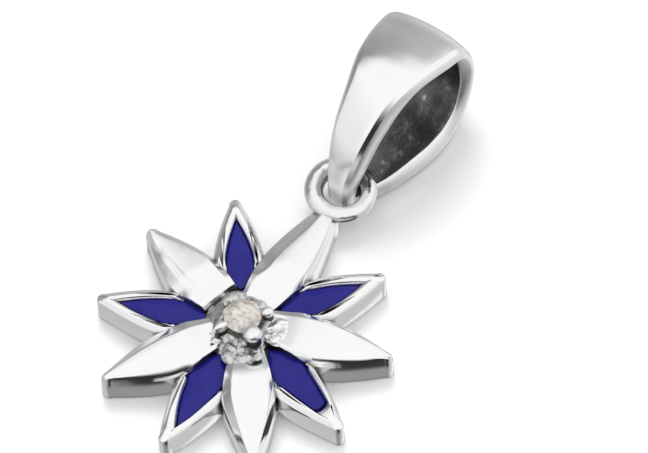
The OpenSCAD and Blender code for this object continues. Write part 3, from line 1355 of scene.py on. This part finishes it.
@dataclass
class Star:
    """The star: petals, enamel, eyelet and setting."""

    slopes: tuple[tuple[Slope, Slope], ...] = field(default_factory=plain_slopes)
    fields: tuple[Field, ...] = field(default_factory=enamel_fields)
    plain_tips: tuple[float, ...] = (8.3, 7.0, 7.05, 7.11, 7.11)
    rim_tips: tuple[float, ...] = (6.9, 7.03, 7.02, 7.06, 7.075)
    drops: tuple[float, ...] = (0.0, 0.6, 0.0, 0.0, 0.0)
    eyelet_petal_end: float = 7.62

    def build(self) -> None:
        """Builds every piece of the star and hides its solid."""
        first = None
        for i in range(PETALS):
            direction = EYELET_DIR + i * PETAL_STEP
            left, right = self.slopes[i]
            plain = PlainPetal(i + 1, direction, self.plain_tips[i], left, right, self.drops[i])
            if i == 0:
                plain.end_r = self.eyelet_petal_end
            petal = plain.build()
            rimmed = RimmedPetal(i + 1, direction + PETAL_STEP / 2, self.rim_tips[i], self.fields[i])
            rimmed.build()
            rimmed.enamel()
            first = first or petal
        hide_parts("star_body")
        eyelet = Eyelet()
        eyelet.ring()
        eyelet.neck()
        Setting().build()


@dataclass(frozen=True)
class Wall:
    """One wall of the light tent.

    Its azimuth is where it begins, in degrees anticlockwise from +X, its stops
    are height angles in degrees with their tones, and it blends into the wall
    before it over some degrees each way.
    """

    begins: float
    stops: tuple[Tone, ...]
    blend: float = 6.0


def tent_walls() -> tuple[Wall, ...]:
    """Walls of the tent once round from the left, pale above and darker near the floor."""
    left = ((-90, 0.6), (-25, 0.55), (-8, 0.32), (5, 0.27), (29, 0.3), (37, 0.62), (47, 1.0))
    return (
        Wall(-180.0, left),
        Wall(-158.0, ((-90, 0.55), (-20, 0.5), (0, 0.55), (18, 0.66), (32, 0.85), (60, 1.0))),
        Wall(-140.0, ((-90, 0.55), (-30, 0.5), (-12, 0.62), (0, 0.85), (14, 0.85), (34, 0.88), (60, 1.0))),
        Wall(-92.0, ((-90, 0.3), (-40, 0.3), (-20, 0.6), (-6, 0.85), (12, 0.95), (30, 1.0))),
        Wall(-82.0, ((-90, 0.3), (-40, 0.3), (-20, 0.4), (-8, 0.1), (8, 0.1), (16, 0.7), (28, 1.0)), 3.0),
        Wall(-64.0, ((-90, 0.3), (-57, 0.3), (-50, 0.06), (14, 0.02), (24, 0.5), (34, 1.0))),
        Wall(-18.0, ((-90, 0.55), (-15, 0.62), (4, 0.66), (18, 0.9), (30, 1.0))),
        Wall(30.0, ((-90, 0.9), (-40, 0.9), (-15, 0.7), (0, 0.8), (12, 0.95), (30, 1.0))),
        Wall(86.0, ((-90, 0.6), (-20, 0.75), (0, 0.6), (18, 0.48), (32, 0.5), (40, 0.85), (50, 1.0)), 9.0),
        Wall(
            108.0,
            ((-90, 0.5), (-20, 0.5), (0, 0.5), (12, 0.42), (30, 0.36), (38, 0.38), (44, 0.8), (53, 1.0)),
            9.0,
        ),
        Wall(
            128.0,
            ((-90, 0.5), (-20, 0.5), (0, 0.45), (12, 0.38), (24, 0.32), (40, 0.3), (47, 0.8), (56, 1.0)),
            9.0,
        ),
        Wall(148.0, ((-90, 0.6), (-16, 0.5), (0, 0.3), (18, 0.25), (38, 0.28), (46, 0.6), (56, 1.0)), 9.0),
        Wall(172.0, left, 9.0),
    )


@dataclass
class Tent:
    """White light tent round the pendant, with its darker low walls."""

    strength: float = 1.03
    walls: tuple[Wall, ...] = field(default_factory=tent_walls)

    def tone(
        self, tree: bpy.types.NodeTree, height: bpy.types.NodeSocket, wall: Wall
    ) -> bpy.types.NodeSocket:
        """Tones of one wall over the height.

        Args:
            tree: World's node tree.
            height: Socket with the sine of the height angle, from 0 for straight down to 1.
            wall: The wall.

        Returns:
            The tone's socket.
        """
        node = tree.nodes.new("ShaderNodeValToRGB")
        while len(node.color_ramp.elements) < len(wall.stops):
            node.color_ramp.elements.new(1.0)
        for element, (angle, tone) in zip(node.color_ramp.elements, wall.stops):
            element.position = 0.5 + 0.5 * math.sin(math.radians(angle))
            element.color = grey(tone)
        tree.links.new(height, node.inputs["Fac"])
        return node.outputs["Color"]

    def mixed(
        self,
        tree: bpy.types.NodeTree,
        share: bpy.types.NodeSocket,
        first: bpy.types.NodeSocket,
        second: bpy.types.NodeSocket | Colour,
    ) -> bpy.types.NodeSocket:
        """Goes from one colour to another by a share.

        Args:
            tree: World's node tree.
            share: Socket from 0 to 1.
            first: Colour socket at 0.
            second: Colour or its socket at 1.

        Returns:
            The mixed colour's socket.
        """
        node = tree.nodes.new("ShaderNodeMix")
        node.data_type = "RGBA"
        tree.links.new(share, node.inputs[0])
        tree.links.new(first, node.inputs[6])
        if isinstance(second, tuple):
            node.inputs[7].default_value = second
        else:
            tree.links.new(second, node.inputs[7])
        return node.outputs[2]

    def build(self) -> None:
        """Sets the world's light."""
        world = bpy.data.worlds.new("tent")
        bpy.context.scene.world = world
        world.use_nodes = True
        tree = world.node_tree
        out = tree.nodes["Background"]
        coords = tree.nodes.new("ShaderNodeTexCoord")
        split = tree.nodes.new("ShaderNodeSeparateXYZ")
        tree.links.new(coords.outputs["Generated"], split.inputs["Vector"])
        turn = tree.nodes.new("ShaderNodeMath")
        turn.operation = "ARCTAN2"
        tree.links.new(split.outputs["Y"], turn.inputs[0])
        tree.links.new(split.outputs["X"], turn.inputs[1])
        height = tree.nodes.new("ShaderNodeMapRange")
        height.inputs["From Min"].default_value = -1.0
        tree.links.new(split.outputs["Z"], height.inputs["Value"])
        tone = self.tone(tree, height.outputs["Result"], self.walls[0])
        for wall in self.walls[1:]:
            share = tree.nodes.new("ShaderNodeMapRange")
            share.interpolation_type = "SMOOTHSTEP"
            share.inputs["From Min"].default_value = math.radians(wall.begins - wall.blend)
            share.inputs["From Max"].default_value = math.radians(wall.begins + wall.blend)
            tree.links.new(turn.outputs["Value"], share.inputs["Value"])
            next_tone = self.tone(tree, height.outputs["Result"], wall)
            tone = self.mixed(tree, share.outputs["Result"], tone, next_tone)
        seen = tree.nodes.new("ShaderNodeLightPath")
        tone = self.mixed(tree, seen.outputs["Is Camera Ray"], tone, grey(1.0))
        tree.links.new(tone, out.inputs["Color"])
        out.inputs["Strength"].default_value = self.strength
        log.info("tent: set")


@dataclass
class Studio:
    """Floor, lamp and camera."""

    floor_r: float = 90.0
    floor_y: float = 4.0
    floor_z: float = -0.002
    lamp_size: float = 160.0
    lamp_energy: float = 0.4
    lamp_place: Point = (-100.0, 120.0, 260.0)
    lamp_aim: Point = (0.0, 5.0, 0.0)
    azimuth: float = 35.7
    elevation: float = 59.75
    roll: float = 3.98
    distance: float = 333.3
    aim_right: float = 3.66
    aim_up: float = 5.41
    lens: float = 399.4

    def floor(self) -> None:
        """Lays the round pale floor under the pendant."""
        draft = Draft()
        rows = []
        for r in (0.02, 4.0, 12.0, 30.0, 60.0, self.floor_r):
            ring = [(r * math.cos(a), self.floor_y + r * math.sin(a), self.floor_z) for a in circle_angles(96)]
            rows.append(draft.row(ring))
        draft.tube(rows)
        mesh = draft.mesh("floor")
        mesh.materials.append(PaleFloor().material())
        made = placed("floor", mesh)
        made.visible_glossy = False

    def lamp(self) -> None:
        """Hangs one broad soft lamp over the back left."""
        data = bpy.data.lights.new("soft_lamp", "AREA")
        data.shape = "DISK"
        data.size = self.lamp_size * MM
        data.energy = self.lamp_energy
        made = placed("soft_lamp", data)
        made.location = Vector(self.lamp_place) * MM
        aim = Vector(self.lamp_aim) * MM - made.location
        made.rotation_euler = aim.to_track_quat("-Z", "Y").to_euler()
        made.visible_glossy = False
        made.visible_camera = False

    def camera(self) -> None:
        """Sets the camera at the photograph's angle."""
        az, el, roll = (math.radians(v) for v in (self.azimuth, self.elevation, self.roll))
        back = Vector((math.sin(az) * math.cos(el), -math.cos(az) * math.cos(el), math.sin(el)))
        flat_right = Vector((math.cos(az), math.sin(az), 0.0))
        flat_up = back.cross(flat_right)
        right = flat_right * math.cos(roll) - flat_up * math.sin(roll)
        up = flat_up * math.cos(roll) + flat_right * math.sin(roll)
        target = right * self.aim_right * MM + up * self.aim_up * MM
        data = bpy.data.cameras.new("camera")
        data.lens = self.lens
        data.sensor_width = 36.0
        data.clip_start = 0.01
        data.clip_end = 10.0
        made = placed("camera", data)
        turn = Matrix((right, up, back)).transposed().to_4x4()
        made.matrix_world = Matrix.Translation(target + back * self.distance * MM) @ turn
        bpy.context.scene.camera = made

    def build(self) -> None:
        """Sets up the studio."""
        self.floor()
        self.lamp()
        self.camera()
        Tent().build()
        view = bpy.context.scene.view_settings
        view.view_transform = "Standard"
        view.look = "None"
        view.exposure = 0.0
        log.info("studio: set")


def write_sizes() -> None:
    """Only defines a helper that turns a box into two lists of numbers; nothing is written."""

    def plain(box: tuple[Vector, Vector]) -> list[list[float]]:
        """A box as two lists of numbers."""
        return [[round(value, 6) for value in corner] for corner in box]


def main() -> None:
    """Builds the studio, the star and the bail, in that order."""
    logging.basicConfig(level=logging.INFO, format="%(name)s %(message)s")
    Studio().build()
    Star().build()
    Bail().build()
    write_sizes()


if __name__ == "__main__":
    main()
